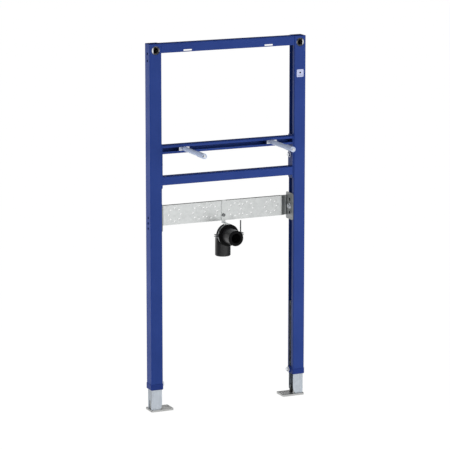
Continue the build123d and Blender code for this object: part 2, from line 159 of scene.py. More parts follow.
def factor(label, text, value):
    """A plain number between nothing and one."""
    return FloatProperty(name=label, description=text, subtype="FACTOR", min=0, max=1, default=value)


class BasinFrameFinish(PropertyGroup):
    """Colours and gloss of the frame's finishes"""

    paint: colour("Paint", "Blue powder coat of the posts and rails", (0.0155, 0.048, 0.250))
    guide: colour("Guide plastic", "Blue plastic of the end guides", (0.010, 0.034, 0.205))
    galvanised: colour("Galvanised", "Zinc skin of the tap plate and the hanger", (0.71, 0.73, 0.725))
    leg: colour("Leg zinc", "Bluish zinc skin of the legs", (0.565, 0.615, 0.675))
    foot: colour("Foot zinc", "Zinc skin of the foot plates", (0.49, 0.495, 0.49))
    # Painted shade: this is the tap plate's zinc darkened far down, standing in for the shade on brackets,
    # clip, clip screws and hanger bolt
    bracket: colour("Bracket zinc", "Duller zinc skin of brackets, clip and clip bolts", (0.26, 0.27, 0.275))
    bolts: colour("Bolts", "Bright zinc of bolts and screws", (0.74, 0.76, 0.80))
    sleeve: colour("Stud sleeve", "Grey plastic around the basin studs", (0.50, 0.58, 0.77))
    black: colour("Black plastic", "Waste bend and anchor sockets", (0.016, 0.016, 0.017))
    rubber: colour("Rubber", "Seal and clip lining", (0.007, 0.007, 0.0075))
    mark: colour("Level mark", "White plate of the level mark", (0.58, 0.63, 0.89))
    print_ink: colour("Mark print", "Dot and line on the level mark", (0.012, 0.014, 0.022))
    paint_roughness: factor("Paint roughness", "Mean roughness of the powder coat", 0.42)
    paint_gloss: factor("Paint gloss", "Mirror share of the powder coat", 0.22)
    rubber_gloss: factor("Rubber gloss", "Mirror share of the rubber", 0.06)
    spangle: length("Spangle", "Width of one zinc crystal on sheet", 7.0 * MM)
    bolt_spangle: length("Bolt spangle", "Width of one zinc crystal on bolts", 1.5 * MM)


class BasinFrameDetail(PropertyGroup):
    """Sizes of the details that ride on the frame"""

    thread_depth: factor("Thread depth", "Depth of a thread as a share of its pitch", 0.54)
    bolt_head: length("Bolt head", "Height of the hexagon heads", 5.5 * MM)
    bolt_flats: length("Bolt flats", "Width over the flats of the hexagon heads", 13.0 * MM)
    bolt_diameter: length("Bolt thread", "Outer diameter of the bolts' thread", 8.0 * MM)
    bolt_pitch: length("Bolt pitch", "Thread pitch of the bolts", 1.25 * MM)
    bolt_washer: length("Bolt washer", "Thickness of the washers", 1.6 * MM)
    nut_thickness: length("Nut thickness", "Thickness of the bracket bolts' nut plates", 5.0 * MM)
    nut_height: length("Nut height", "Height of the bracket bolts' nut plates", 15.0 * MM)
    nut_edge: length("Nut edge", "Edge radius of the bracket bolts' nut plates", 0.6 * MM)
    screw_head: length("Screw head", "Height of the clip screws' heads with their collars", 3.5 * MM)
    screw_flats: length("Screw flats", "Width over the flats of the clip screws' heads", 8.0 * MM)
    screw_diameter: length("Screw thread", "Outer diameter of the clip screws' thread", 4.5 * MM)
    screw_pitch: length("Screw pitch", "Thread pitch of the clip's screws", 0.8 * MM)
    hook_reach: length("Hook screw", "Thread of the clip's short screw over its head", 10.0 * MM)
    hanger_head: length("Hanger head", "Height of the hanger bolt's head with its collar", 4.0 * MM)
    hanger_flats: length("Hanger flats", "Width over the flats of the hanger bolt's head", 10.0 * MM)
    hanger_thread: length("Hanger thread", "Outer diameter of the hanger bolt's thread", 6.0 * MM)
    hanger_pitch: length("Hanger pitch", "Thread pitch of the hanger bolt", 1.0 * MM)
    collar: length("Collar", "Thickness of the collar under a screw's or the hanger bolt's head", 0.8 * MM)
    washer_opening: length("Anchor opening", "Width of the opening in an anchor washer", 19.0 * MM)
    washer_shift: length("Anchor shift", "Shift of that opening to the middle of the frame", 1.75 * MM)
    washer_rim: length("Anchor rim", "Rim of an anchor washer over and under its opening", 0.1 * MM)
    stud_bare: length("Stud bare end", "Thread of a basin stud in front of its cap", 3.0 * MM)
    stud_shank: length("Stud shank", "Diameter of a basin stud inside its sleeve", 9.0 * MM)
    stud_pitch: length("Stud pitch", "Thread pitch of the basin studs", 1.5 * MM)
    slit_place: length("Slit place", "Slit of the top rail from the middle of the frame", 140.0 * MM)
    slit_length: length("Slit length", "Length of a slit of the top rail", 29.0 * MM)
    slit_lip: length("Slit lip", "Height of the lip under a slit", 2.6 * MM)
    slit_fit: length("Slit fit", "How deep a lip's faces lie under those of the rail", 0.08 * MM)
    slit_edge: length("Slit edge", "Edge radius of a lip", 0.1 * MM)
    rail_wall: length("Rail wall", "Thickness of the top rail's front", 2.0 * MM)
    rail_back: length("Rail back", "Height of the top rail's rear leg", 18.0 * MM)
    lip_gap: length("Lip gap", "Between the top rail's rear leg and a post's rear lip", 3.0 * MM)
    traverse_wall: length("Traverse wall", "Thickness of the traverse's rails", 2.5 * MM)
    bead_radius: length("Weld bead", "Radius of the weld beads", 1.8 * MM)
    bead_ripple: length("Weld ripple", "Length of one ripple of a weld bead", 1.7 * MM)
    lining_ribs: IntProperty(name="Lining ribs", description="Ribs round the lining", min=8, default=44)
    rib_height: length("Rib height", "Height of a rib of the lining", 0.7 * MM)
    lip_height: length("Lip height", "How far the lining's lips stand over the clip's band", 2.2 * MM)
    lip_drop: length("Lip drop", "How far the rear lip keeps under the hanger", 0.66 * MM)
    seat_depth: length("Seat depth", "How deep the clip's band lies in the lining", 2.1 * MM)
    lining_fit: length("Lining fit", "Gap of the lining to the bend and to the sides of the band", 0.1 * MM)
    dot_radius: length("Dot radius", "Radius of the dot on the level mark", 3.0 * MM)
    dot_rise: length("Dot rise", "Dot over the middle of the level mark", 1.5 * MM)
    line_drop: length("Line drop", "Line under the middle of the level mark", 6.6 * MM)
    line_length: length("Line length", "Length of the line on the level mark", 18.24 * MM)
    line_width: length("Line width", "Width of the line on the level mark", 0.96 * MM)
    print_edge: length("Print edge", "Edge radius of the print", 0.008 * MM)
    print_thickness: length("Print thickness", "How far the print stands out of the mark", 0.08 * MM)


class BasinFrameStage(PropertyGroup):
    """Camera, floor and lights"""

    azimuth: FloatProperty(name="Azimuth", description="Camera to the left of the front", subtype="ANGLE",
                           unit="ROTATION", default=radians(24.457))
    elevation: FloatProperty(name="Elevation", description="Camera above the horizon", subtype="ANGLE",
                             unit="ROTATION", default=radians(11.453))
    distance: length("Distance", "Camera to its target", 8.627)
    lens: FloatProperty(name="Lens", description="Focal length in millimetres", unit="CAMERA", default=216.7)
    aim_x: length("Aim X", "Place of the target across the frame", -0.0132)
    aim_z: length("Aim Z", "Height of the target", 0.5886)
    reach: length("Reach", "How far the camera sees", 200.0)
    floor: length("Floor", "Half width of the floor", 30.0)
    floor_gap: length("Floor gap", "Floor under the feet when the legs are drawn out", 0.2 * MM)
    floor_light: factor("Floor light", "Light on the floor, as a share of white", 0.4)
    shadow: factor("Shadow", "Share of the floor's white that comes from light, and so takes a shadow", 0.12)
    ambient: factor("Ambient", "Light from all round", 0.42)


def settings(name):
    """The scene's settings of that group."""
    return getattr(bpy.context.scene, PREFIX + name)


# Surfaces

def grid_faces(rows, columns):
    """Quads between neighbours of a grid whose last column joins the first."""
    row = np.arange(rows - 1)[:, None]
    column = np.arange(columns)[None, :]
    after = (column + 1) % columns
    here, beyond = row * columns, (row + 1) * columns
    corners = (here + column, here + after, beyond + after, beyond + column)
    return np.stack(np.broadcast_arrays(*corners), -1).reshape(-1, 4)


def turned(along, radius, axis, centre):
    """A surface round an axis: along[i, j] on the axis, radius[i, j] off it, j counting the angle."""
    angle = np.linspace(0, 2 * pi, radius.shape[1], endpoint=False)
    across = radius * np.cos(angle)
    up = radius * np.sin(angle)
    order = {"X": (along, across, up), "Y": (up, along, across), "Z": (across, up, along)}[axis]
    points = np.stack(order, -1) + np.asarray(centre)
    return points.reshape(-1, 3), grid_faces(*radius.shape)


def swept(profile, path, side, up):
    """A closed profile carried along a path: each ring is the path's point plus profile[..., 0] times
    side and profile[..., 1] times up, and both ends are closed by a ring drawn in to a point."""
    rings = path[:, None, :] + profile[..., :1] * side + profile[..., 1:] * up
    ends = path[[0, -1]][:, None, :] + 0 * rings[:2]
    rings = np.concatenate([ends[:1], rings, ends[1:]])
    return rings.reshape(-1, 3), grid_faces(*rings.shape[:2])


def add_piece(name, surfaces, body, material, stands_for=()):
    """One mesh from several grids, with doubles merged and its faces turned outwards."""
    starts = np.cumsum([0] + [len(points) for points, _ in surfaces[:-1]])
    points = np.concatenate([points for points, _ in surfaces])
    faces = np.concatenate([quads + start for (_, quads), start in zip(surfaces, starts)])
    mesh = bpy.data.meshes.new(name)
    mesh.from_pydata(points, [], faces)
    shape = bmesh.new()
    shape.from_mesh(mesh)
    bmesh.ops.remove_doubles(shape, verts=shape.verts, dist=MERGE)
    bmesh.ops.dissolve_degenerate(shape, edges=shape.edges, dist=SLIVER)
    bmesh.ops.recalc_face_normals(shape, faces=shape.faces)
    shape.to_mesh(mesh)
    shape.free()
    mesh.shade_smooth()
    mesh.set_sharp_from_angle(angle=CREASE)
    mesh.materials.append(material)
    piece = bpy.data.objects.new(name, mesh)
    bpy.context.scene.collection.objects.link(piece)
    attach(piece, body)
    if stands_for:
        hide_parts(*stands_for)


def thread(start, end, root, crest, pitch):
    """A threaded length: the radius falls and rises as a triangle wave of distance over pitch less turn."""
    along = np.linspace(start, end, max(LEAST_ROWS, int(abs(end - start) / pitch * PITCH_ROWS)))[:, None]
    turn = np.linspace(0, 1, AROUND, endpoint=False)[None, :]
    wave = np.abs(((along / pitch - turn) % 1) * 2 - 1)
    return np.broadcast_to(along, wave.shape), root + (crest - root) * wave


def ring_rows(rows, around=AROUND):
    """Rows of constant place and radius, one for each (along, radius) pair."""
    pairs = np.asarray(rows, float)
    return tuple(np.repeat(pairs[:, k:k + 1], around, axis=1) for k in (0, 1))


def hexagon_radius(flats):
    """Distance to a hexagon's side: half the flats over the cosine of the angle from the nearest flat."""
    angle = np.linspace(0, 2 * pi, AROUND, endpoint=False)
    return flats / 2 / np.cos(angle % (pi / 3) - pi / 6)


def bolt_surface(head, flats, washer, root, crest, pitch, tip, axis, centre):
    """A bolt turned about its axis: crowned hexagon head, washer, threaded shank and chamfered tip.
    Head and washer are (start, end) along the axis, and washer also has its radius."""
    direction = 1 if tip > head[0] else -1
    hexagon = hexagon_radius(flats)
    flat = np.full_like(hexagon, HEAD_FLAT * flats / 2)
    drop = (hexagon - flat) * np.tan(HEAD_SLOPE) * direction
    top, under = np.full_like(hexagon, head[0]), np.full_like(hexagon, head[1])
    crown = np.stack([top, top, top + drop, under]), np.stack([0 * flat, flat, hexagon, hexagon])
    edge = WASHER_EDGE * (washer[1] - washer[0])
    disc = ring_rows([(washer[0], washer[2] - abs(edge)), (washer[0] + edge, washer[2]),
                      (washer[1] - edge, washer[2]), (washer[1], washer[2] - abs(edge)), (washer[1], root)])
    end = tip - direction * (crest - root)
    shank = thread(washer[1], end, root, crest, pitch)
    nose = ring_rows([(tip, TIP_END * root), (tip, 0)])
    along, radius = (np.concatenate(rows) for rows in zip(crown, disc, shank, nose))
    return turned(along, radius, axis, centre)


def unit_circle(around):
    """Points on a circle of radius one, as cosine and sine of even steps of the angle."""
    angle = np.linspace(0, 2 * pi, around, endpoint=False)
    return np.stack([np.cos(angle), np.sin(angle)], -1)


def rounded_slab(low, high, edge):
    """A plate as a profile carried along X: a rectangle in Y and Z whose rings are drawn in by the
    edge radius at both faces."""
    low, high = np.asarray(low), np.asarray(high)
    square = np.clip(unit_circle(AROUND) * SQUARENESS, -1, 1)
    half = (high - low)[1:] / 2
    inset = np.array([edge, 0, 0, edge])
    profile = square[None] * (half[None, None] - inset[:, None, None])
    place = np.array([low[0], low[0] + edge, high[0] - edge, high[0]])
    path = np.stack([place, np.full(4, (low + high)[1] / 2), np.full(4, (low + high)[2] / 2)], -1)
    return swept(profile, path, Y_AXIS, Z_AXIS)


def bead_surface(x, y, bottom, top, radius, ripple):
    """An upright weld bead: a circle carried up a line, its radius swelling with the sine of the height,
    once in each ripple, and drawn in towards both ends."""
    span = top - bottom
    t = np.linspace(0, 1, int(span / ripple * RIPPLE_ROWS))
    ripples = 1 - BEAD_SWELL + BEAD_SWELL * np.abs(np.sin(pi * t * span / ripple))
    taper = np.clip(np.minimum(t, 1 - t) / BEAD_TAPER, BEAD_END, 1)
    profile = (radius * ripples * taper)[:, None, None] * unit_circle(BEAD_AROUND)[None]
    return swept(profile, np.array([x, y, bottom]) + t[:, None] * span * Z_AXIS, X_AXIS, Y_AXIS)


# Pieces from the frame's own sizes

def root_of(diameter, pitch):
    """Radius at the bottom of a thread."""
    return diameter / 2 - settings("detail").thread_depth * pitch


def side_bolt(label):
    """A bolt along X in its node's box, its head towards the middle of the frame."""
    detail = settings("detail")
    low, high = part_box(label)
    inner, tip, way = (low.x, high.x, 1) if low.x > 0 else (high.x, low.x, -1)
    under = inner + way * detail.bolt_head
    seat = under + way * detail.bolt_washer
    return bolt_surface(
        (inner, under), detail.bolt_flats, (under, seat, (high.z - low.z) / 2),
        root_of(detail.bolt_diameter, detail.bolt_pitch), detail.bolt_diameter / 2, detail.bolt_pitch, tip,
        "X", (0, (low.y + high.y) / 2, (low.z + high.z) / 2),
    )


def bracket_nut(label):
    """The nut plate at the outer end of a bracket bolt, as deep as its node's box."""
    detail = settings("detail")
    low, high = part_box(label)
    middle = (low.z + high.z) / 2
    half = detail.nut_height / 2
    thick = detail.nut_thickness
    near, far = (high.x - thick, high.x) if low.x > 0 else (low.x, low.x + thick)
    return rounded_slab((near, low.y, middle - half), (far, high.y, middle + half), detail.nut_edge)


def stud_surface(label):
    """A basin stud along Y: chamfered tip, threaded bare end and plain shank."""
    detail = settings("detail")
    low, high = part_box(label)
    crest, shank = (high.z - low.z) / 2, detail.stud_shank / 2
    root = root_of(2 * crest, detail.stud_pitch)
    start, end = low.y + crest - root, low.y + detail.stud_bare
    tip = ring_rows([(low.y, 0), (low.y, root)])
    bare = thread(start, end, root, crest, detail.stud_pitch)
    rest = ring_rows([(end, shank), (high.y, shank), (high.y, 0)])
    along, radius = (np.concatenate(rows) for rows in zip(tip, bare, rest))
    return turned(along, radius, "Y", ((low.x + high.x) / 2, 0, (low.z + high.z) / 2))


def lining_surface():
    """The clip's lining turned about Y: a trough section whose end faces wave out and in with the cosine
    of the angle, one wave to a rib, and whose rear lip is drawn in under the hanger."""
    detail = settings("detail")
    low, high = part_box("clip_lining")
    band_low, band_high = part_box("clip_upper_half")
    hanger_low, hanger_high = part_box("clip_hanger")
    centre = (low + high) / 2
    band = hanger_low.z - centre.z
    lip, seat, under = band + detail.lip_height, band - detail.seat_depth, band - detail.lip_drop
    bend_low, bend_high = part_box("waste_bend")
    inner = (bend_high.x - bend_low.x) / 2 + detail.lining_fit
    middle = (inner + seat) / 2
    front, rear = low.y, high.y
    band_front, band_rear = band_low.y - detail.lining_fit, band_high.y + detail.lining_fit
    around = RIB_POINTS * detail.lining_ribs
    along, radius = ring_rows([
        (front, inner), (front, middle), (front, lip), (band_front, lip), (band_front, seat),
        (band_rear, seat), (band_rear, lip), (rear, lip), (rear, middle), (rear, inner), (front, inner),
    ], around)
    angle = np.linspace(0, 2 * pi, around, endpoint=False)
    wave = 0.5 - 0.5 * np.cos(detail.lining_ribs * angle)
    along = along + detail.rib_height * wave * ((along == front) * 1.0 - (along == rear))
    reach = DRAWN_WIDTHS * (hanger_high.x - hanger_low.x) / 2 / band
    below = np.clip(DRAWN_SLOPE * (1 - np.abs(np.angle(np.exp(1j * angle))) / reach), 0, 1)
    radius = radius - (lip - under) * below * ((radius == lip) & (along > band_front))
    return turned(along, radius, "Y", (centre.x, 0, centre.z))


def clip_screw_surfaces():
    """The clip's two screws along Z, heads below: the short hook screw and the long clamp screw."""
    detail = settings("detail")
    low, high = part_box("clip_screws")
    crest = detail.screw_diameter / 2
    y = (low.y + high.y) / 2
    under = low.z + detail.screw_head
    half = detail.screw_flats / 2
    shoulder = under - detail.collar
    screws = []
    for x, tip in ((low.x + half, under + detail.hook_reach), (high.x - half, high.z)):
        screws.append(bolt_surface(
            (low.z, shoulder), detail.screw_flats, (shoulder, under, half),
            root_of(2 * crest, detail.screw_pitch), crest, detail.screw_pitch, tip, "Z", (x, y, 0),
        ))
    return screws


def hanger_bolt_surface():
    """The hanger's bolt along Y, head to the front."""
    detail = settings("detail")
    low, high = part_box("hanger_bolt")
    crest = detail.hanger_thread / 2
    under = low.y + detail.hanger_head
    shoulder = under - detail.collar
    return bolt_surface(
        (low.y, shoulder), detail.hanger_flats, (shoulder, under, detail.hanger_flats / 2),
        root_of(2 * crest, detail.hanger_pitch), crest, detail.hanger_pitch, high.y, "Y",
        ((low.x + high.x) / 2, 0, (low.z + high.z) / 2),
    )


def washer_surface(label):
    """A washer on an anchor socket's face, as rings about Y: a round rim, and an opening that is a circle
    cut off by two upright lines, set towards the middle of the frame."""
    detail = settings("detail")
    low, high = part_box(label)
    middle = (low + high) / 2
    rim = (high.z - low.z) / 2
    circle = unit_circle(2 * AROUND)
    opening = (rim - detail.washer_rim) * circle
    shift = detail.washer_shift * (1 if middle.x < 0 else -1)
    half = detail.washer_opening / 2
    opening[:, 0] = np.clip(opening[:, 0], shift - half, shift + half)
    rings = np.stack([opening, rim * circle, rim * circle, opening, opening])
    depth = np.array([low.y, low.y, high.y, high.y, low.y])[:, None] + 0 * rings[..., 0]
    points = np.stack([middle.x + rings[..., 0], depth, middle.z + rings[..., 1]], -1)
    return points.reshape(-1, 3), grid_faces(*depth.shape)


def slit_lips():
    """The lips under the top rail's slits, each a flat bar along X in the rail's front wall."""
    detail = settings("detail")
    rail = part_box("top_rail")[0]
    half = detail.slit_length / 2 + detail.slit_fit
    front, back = rail.y + detail.slit_fit, rail.y + detail.rail_wall - detail.slit_fit
    bottom, top = rail.z + detail.slit_fit, rail.z + detail.slit_lip
    return [
        rounded_slab((x - half, front, bottom), (x + half, back, top), detail.slit_edge)
        for x in (-detail.slit_place, detail.slit_place)
    ]


def rail_beads(rail):
    """Upright weld beads at both ends of a rail: on the back of the top rail and of the C rail, and behind
    the web of the lower rail."""
    detail = settings("detail")
    low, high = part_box(rail)
    wall = detail.traverse_wall
    y, bottom, top = {
        "top_rail": (high.y + detail.lip_gap / 2, high.z - detail.rail_back, high.z),
        "basin_rail": (high.y, low.z + wall, high.z - wall),
        "lower_rail": (low.y + wall, low.z + wall, high.z - wall),
    }[rail]
    sink = BEAD_SINK * detail.bead_radius
    return [
        bead_surface(x, y, bottom, top, detail.bead_radius, detail.bead_ripple)
        for x in (low.x + sink, high.x - sink)
    ]


def mark_print():
    """The print on the level mark's front: a disc turned about Y over a flat bar along X."""
    detail = settings("detail")
    low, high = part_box("level_mark")
    middle = (low + high) / 2
    radius, thick = detail.dot_radius, detail.print_thickness
    rows = ring_rows([(0, 0), (0, radius), (-thick, radius), (-thick, 0)])
    dot = turned(*rows, "Y", (middle.x, low.y, middle.z + detail.dot_rise))
    across, up = detail.line_length / 2, detail.line_width / 2
    line = middle.z - detail.line_drop
    bar = rounded_slab((middle.x - across, low.y - thick, line - up), (middle.x + across, low.y, line + up),
                       detail.print_edge)
    return [dot, bar]


# Shader groups

# Inputs of the groups that change between two colours and two roughnesses
SHADE_INPUTS = (
    ("Light", "colour"), ("Dark", "colour"), ("Scale", "value"), ("Smooth", "value"), ("Rough", "value"),
)


def new_group(name, inputs, outputs):
    """A shader node group with named sockets, and its two ends."""
    tree = bpy.data.node_groups.new(name, "ShaderNodeTree")
    kinds = {"value": "NodeSocketFloat", "colour": "NodeSocketColor"}
    for label, kind in inputs:
        tree.interface.new_socket(label, in_out="INPUT", socket_type=kinds[kind])
    for label, kind in outputs:
        tree.interface.new_socket(label, in_out="OUTPUT", socket_type=kinds[kind])
    return tree, tree.nodes.new("NodeGroupInput"), tree.nodes.new("NodeGroupOutput")


def node(tree, kind, feeds=(), **values):
    """A node with its settings; each feed is an input's name or number, and a socket or a plain value."""
    made = tree.nodes.new(kind)
    for key, value in values.items():
        setattr(made, key, value)
    for key, source in feeds:
        if isinstance(source, bpy.types.NodeSocket):
            tree.links.new(source, made.inputs[key])
        else:
            made.inputs[key].default_value = source
    return made


def mixed(tree, share, low, high):
    """Mix of two colours; the Mix node has its colours on inputs 6 and 7 and on output 2."""
    return node(tree, "ShaderNodeMix", [(0, share), (6, low), (7, high)], data_type="RGBA").outputs[2]


def ranged(tree, value, low, high, start=0.0, stop=1.0):
    """Map a value from start and stop to low and high."""
    feeds = [("Value", value), ("From Min", start), ("From Max", stop), ("To Min", low), ("To Max", high)]
    return node(tree, "ShaderNodeMapRange", feeds).outputs[0]


def object_place(tree, scale=(1.0, 1.0, 1.0)):
    """Object coordinates, stretched by a scale on each axis."""
    place = tree.nodes.new("ShaderNodeTexCoord").outputs["Object"]
    return node(tree, "ShaderNodeMapping", [("Vector", place), ("Scale", scale)]).outputs[0]


def noise_value(tree, place, scale, detail):
    """Value of a noise texture at a place."""
    feeds = [("Vector", place), ("Scale", scale), ("Detail", detail)]
    return node(tree, "ShaderNodeTexNoise", feeds).outputs["Fac"]


def mottle_group():
    """Cloudy change between two colours and two roughnesses, from noise of a given size."""
    outputs = [("Colour", "colour"), ("Roughness", "value")]
    tree, given, out = new_group("Cloudy mottle", SHADE_INPUTS, outputs)
    noise = noise_value(tree, object_place(tree), given.outputs["Scale"], detail=4.0)
    share = ranged(tree, noise, 0.0, 1.0, *NOISE_SPAN)
    tree.links.new(mixed(tree, share, given.outputs["Dark"], given.outputs["Light"]), out.inputs["Colour"])
    rough = ranged(tree, share, given.outputs["Rough"], given.outputs["Smooth"])
    tree.links.new(rough, out.inputs["Roughness"])
    return tree


def grain_group():
    """Fine even grain as a height, such as the orange peel of a coat or moulded texture."""
    tree, given, out = new_group("Fine grain", [("Scale", "value")], [("Height", "value")])
    noise = noise_value(tree, object_place(tree), given.outputs["Scale"], detail=2.0)
    tree.links.new(noise, out.inputs["Height"])
    return tree


def spangle_group():
    """Zinc crystals: each Voronoi cell has its own shade, gloss and height."""
    outputs = [("Colour", "colour"), ("Roughness", "value"), ("Height", "value")]
    tree, given, out = new_group("Zinc spangle", SHADE_INPUTS, outputs)
    feeds = [("Vector", object_place(tree)), ("Scale", given.outputs["Scale"])]
    cells = node(tree, "ShaderNodeTexVoronoi", feeds).outputs["Color"]
    shade, gloss, height = node(tree, "ShaderNodeSeparateColor", [("Color", cells)]).outputs
    tree.links.new(mixed(tree, shade, given.outputs["Dark"], given.outputs["Light"]), out.inputs["Colour"])
    rough = ranged(tree, gloss, given.outputs["Smooth"], given.outputs["Rough"])
    tree.links.new(rough, out.inputs["Roughness"])
    tree.links.new(height, out.inputs["Height"])
    return tree


def streak_group():
    """Faint streaks along Z, as drawn profiles have."""
    tree, given, out = new_group("Drawn streaks", [("Scale", "value")], [("Streak", "value")])
    noise = noise_value(tree, object_place(tree, STREAK_STRETCH), given.outputs["Scale"], detail=3.0)
    tree.links.new(ranged(tree, noise, 0.0, 1.0, *NOISE_SPAN), out.inputs["Streak"])
    return tree


GROUP_MAKERS = {
    "Cloudy mottle": mottle_group, "Fine grain": grain_group,
    "Zinc spangle": spangle_group, "Drawn streaks": streak_group,
}


def use_group(tree, name, **values):
    """Place a shared group in a material with its own values, building the group once."""
    shared = bpy.data.node_groups.get(name) or GROUP_MAKERS[name]()
    placed = tree.nodes.new("ShaderNodeGroup")
    placed.node_tree = shared
    for label, value in values.items():
        placed.inputs[label].default_value = value
    return placed.outputs


# Materials

def opaque(tint, gain=1.0):
    """A linear colour as four values, brightened by a gain."""
    return tuple(min(1.0, channel * gain) for channel in tint) + (1.0,)


def new_material(name):
    """An empty material with a Principled shader on its output."""
    made = bpy.data.materials.new(name + FINISH)
    made.use_nodes = True
    return made, made.node_tree, made.node_tree.nodes["Principled BSDF"]


def add_bump(tree, shader, height, strength, distance):
    """Let a height stand out of the surface."""
    bump = node(tree, "ShaderNodeBump", [("Height", height), ("Strength", strength), ("Distance", distance)])
    tree.links.new(bump.outputs["Normal"], shader.inputs["Normal"])


def coated(name, tint, roughness, grain, depth, cloud=9.0, spread=0.05, gloss=0.5):
    """Paint or plastic: cloudy mottle in colour and gloss, with a fine grain on the surface."""
    made, tree, shader = new_material(name)
    shader.inputs["Specular IOR Level"].default_value = gloss
    mottle = use_group(
        tree, "Cloudy mottle", Light=opaque(tint, MOTTLE_LIGHT), Dark=opaque(tint, MOTTLE_DARK),
        Scale=cloud, Smooth=roughness - spread, Rough=roughness + spread,
    )
    tree.links.new(mottle["Colour"], shader.inputs["Base Color"])
    tree.links.new(mottle["Roughness"], shader.inputs["Roughness"])
    height = use_group(tree, "Fine grain", Scale=grain)["Height"]
    add_bump(tree, shader, height, strength=0.35, distance=depth)
    return made


def zinc_skin(name, tint, cell, smooth, rough, contrast, streaks=0.0):
    """Zinc on steel: crystals that differ in shade and gloss, and streaks along Z where it was drawn."""
    made, tree, shader = new_material(name)
    spangle = use_group(
        tree, "Zinc spangle", Light=opaque(tint, 1 + contrast), Dark=opaque(tint, 1 - contrast),
        Scale=1 / cell, Smooth=smooth, Rough=rough,
    )
    tone = spangle["Colour"]
    if streaks:
        streak = use_group(tree, "Drawn streaks", Scale=STREAK_SCALE)["Streak"]
        share = ranged(tree, streak, 0.0, streaks)
        tone = mixed(tree, share, tone, opaque(tint, STREAK_SHADE))
    tree.links.new(tone, shader.inputs["Base Color"])
    tree.links.new(spangle["Roughness"], shader.inputs["Roughness"])
    shader.inputs["Metallic"].default_value = 1.0
    add_bump(tree, shader, spangle["Height"], strength=0.25, distance=0.05 * MM)
    return made


def matte(name, tint):
    """A material without any gloss, for the stage."""
    made, tree, shader = new_material(name)
    shader.inputs["Base Color"].default_value = opaque(tint)
    shader.inputs["Roughness"].default_value = 1.0
    shader.inputs["Specular IOR Level"].default_value = 0.0
    return made, tree, shader


def recipes():
    """How each finish is made: its maker and the maker's values."""
    look = settings("finish")
    cell = look.spangle
    return {
        "blue_paint": (coated, dict(
            tint=look.paint, roughness=look.paint_roughness, grain=1100.0, depth=0.02 * MM,
            gloss=look.paint_gloss,
        )),
        "blue_plastic": (coated, dict(
            tint=look.guide, roughness=0.48, grain=1600.0, depth=0.03 * MM, gloss=look.paint_gloss,
        )),
        "galvanised": (zinc_skin, dict(
            tint=look.galvanised, cell=cell, smooth=0.28, rough=0.40, contrast=0.035,
        )),
        "galvanised_leg": (zinc_skin, dict(
            tint=look.leg, cell=cell, smooth=0.34, rough=0.48, contrast=0.04, streaks=0.35,
        )),
        "galvanised_foot": (zinc_skin, dict(
            tint=look.foot, cell=cell, smooth=0.34, rough=0.48, contrast=0.06,
        )),
        # Painted shade: the same zinc as the tap plate, darkened by its tint, with a rougher and more
        # mottled gloss
        "galvanised_dull": (zinc_skin, dict(
            tint=look.bracket, cell=cell, smooth=0.30, rough=0.46, contrast=0.08,
        )),
        "zinc_bolts": (zinc_skin, dict(
            tint=look.bolts, cell=look.bolt_spangle, smooth=0.20, rough=0.34, contrast=0.05,
        )),
        "grey_plastic": (coated, dict(
            tint=look.sleeve, roughness=0.42, grain=1400.0, depth=0.02 * MM, cloud=40.0,
        )),
        "black_plastic": (coated, dict(
            tint=look.black, roughness=0.36, grain=1500.0, depth=0.02 * MM, cloud=30.0, spread=0.07,
        )),
        "black_rubber": (coated, dict(
            tint=look.rubber, roughness=0.66, grain=1800.0, depth=0.04 * MM, cloud=60.0,
            gloss=look.rubber_gloss,
        )),
        "white_mark": (coated, dict(
            tint=look.mark, roughness=0.45, grain=1400.0, depth=0.01 * MM, cloud=80.0,
        )),
        "mark_print": (coated, dict(
            tint=look.print_ink, roughness=0.55, grain=2000.0, depth=0.01 * MM, gloss=look.rubber_gloss,
        )),
    }


def finish(name):
    """The material of that finish, made when it is first asked for."""
    ready = bpy.data.materials.get(name + FINISH)
    if ready:
        return ready
    maker, values = recipes()[name]
    return maker(name, **values)


def dress(name, nodes):
    """Give CAD nodes that finish."""
    for label in nodes:
        slots = frame["nodes"][label].data.materials
        slots.clear()
        slots.append(finish(name))


def both(*names):
    """Node names on the left and on the right."""
    return [f"{side}_{name}" for side in SIDES for name in names]


# Operators

class PieceOperator:
    """What the operators of this file share"""

    bl_options = {"REGISTER", "UNDO"}


class BASIN_FRAME_OT_painted(PieceOperator, Operator):
    """Paint the posts, rails and side plates, and colour the end guides"""

    bl_idname = "basin_frame.painted"
    bl_label = "Painted steel and guides"

    def execute(self, context):
        dress("blue_paint", both("post", "side_plate") + list(RAILS))
        dress("blue_plastic", both("end_guide"))
        return {"FINISHED"}


class BASIN_FRAME_OT_galvanised(PieceOperator, Operator):
    """Give legs, feet, tap plate and hanger their zinc skin, and brackets and clip a zinc skin darkened as
    painted shade
    """

    bl_idname = "basin_frame.galvanised"
    bl_label = "Galvanised steel"

    def execute(self, context):
        dress("galvanised", ["tap_plate", "clip_hanger"])
        # Brackets and clip halves: zinc darkened as painted shade
        dress("galvanised_dull", both("plate_bracket") + ["clip_upper_half", "clip_lower_half"])
        dress("galvanised_leg", both("leg"))
        dress("galvanised_foot", both("foot_plate"))
        return {"FINISHED"}


class BASIN_FRAME_OT_plastics(PieceOperator, Operator):
    """Finish the waste bend, its seal, the anchor sockets and the stud sleeves"""

    bl_idname = "basin_frame.plastics"
    bl_label = "Plastic and rubber"

    def execute(self, context):
        dress("black_plastic", both("anchor_socket") + ["waste_bend"])
        dress("black_rubber", ["bend_seal", "clip_lining"])
        dress("grey_plastic", both("stud_sleeve", "stud_cap"))
        return {"FINISHED"}


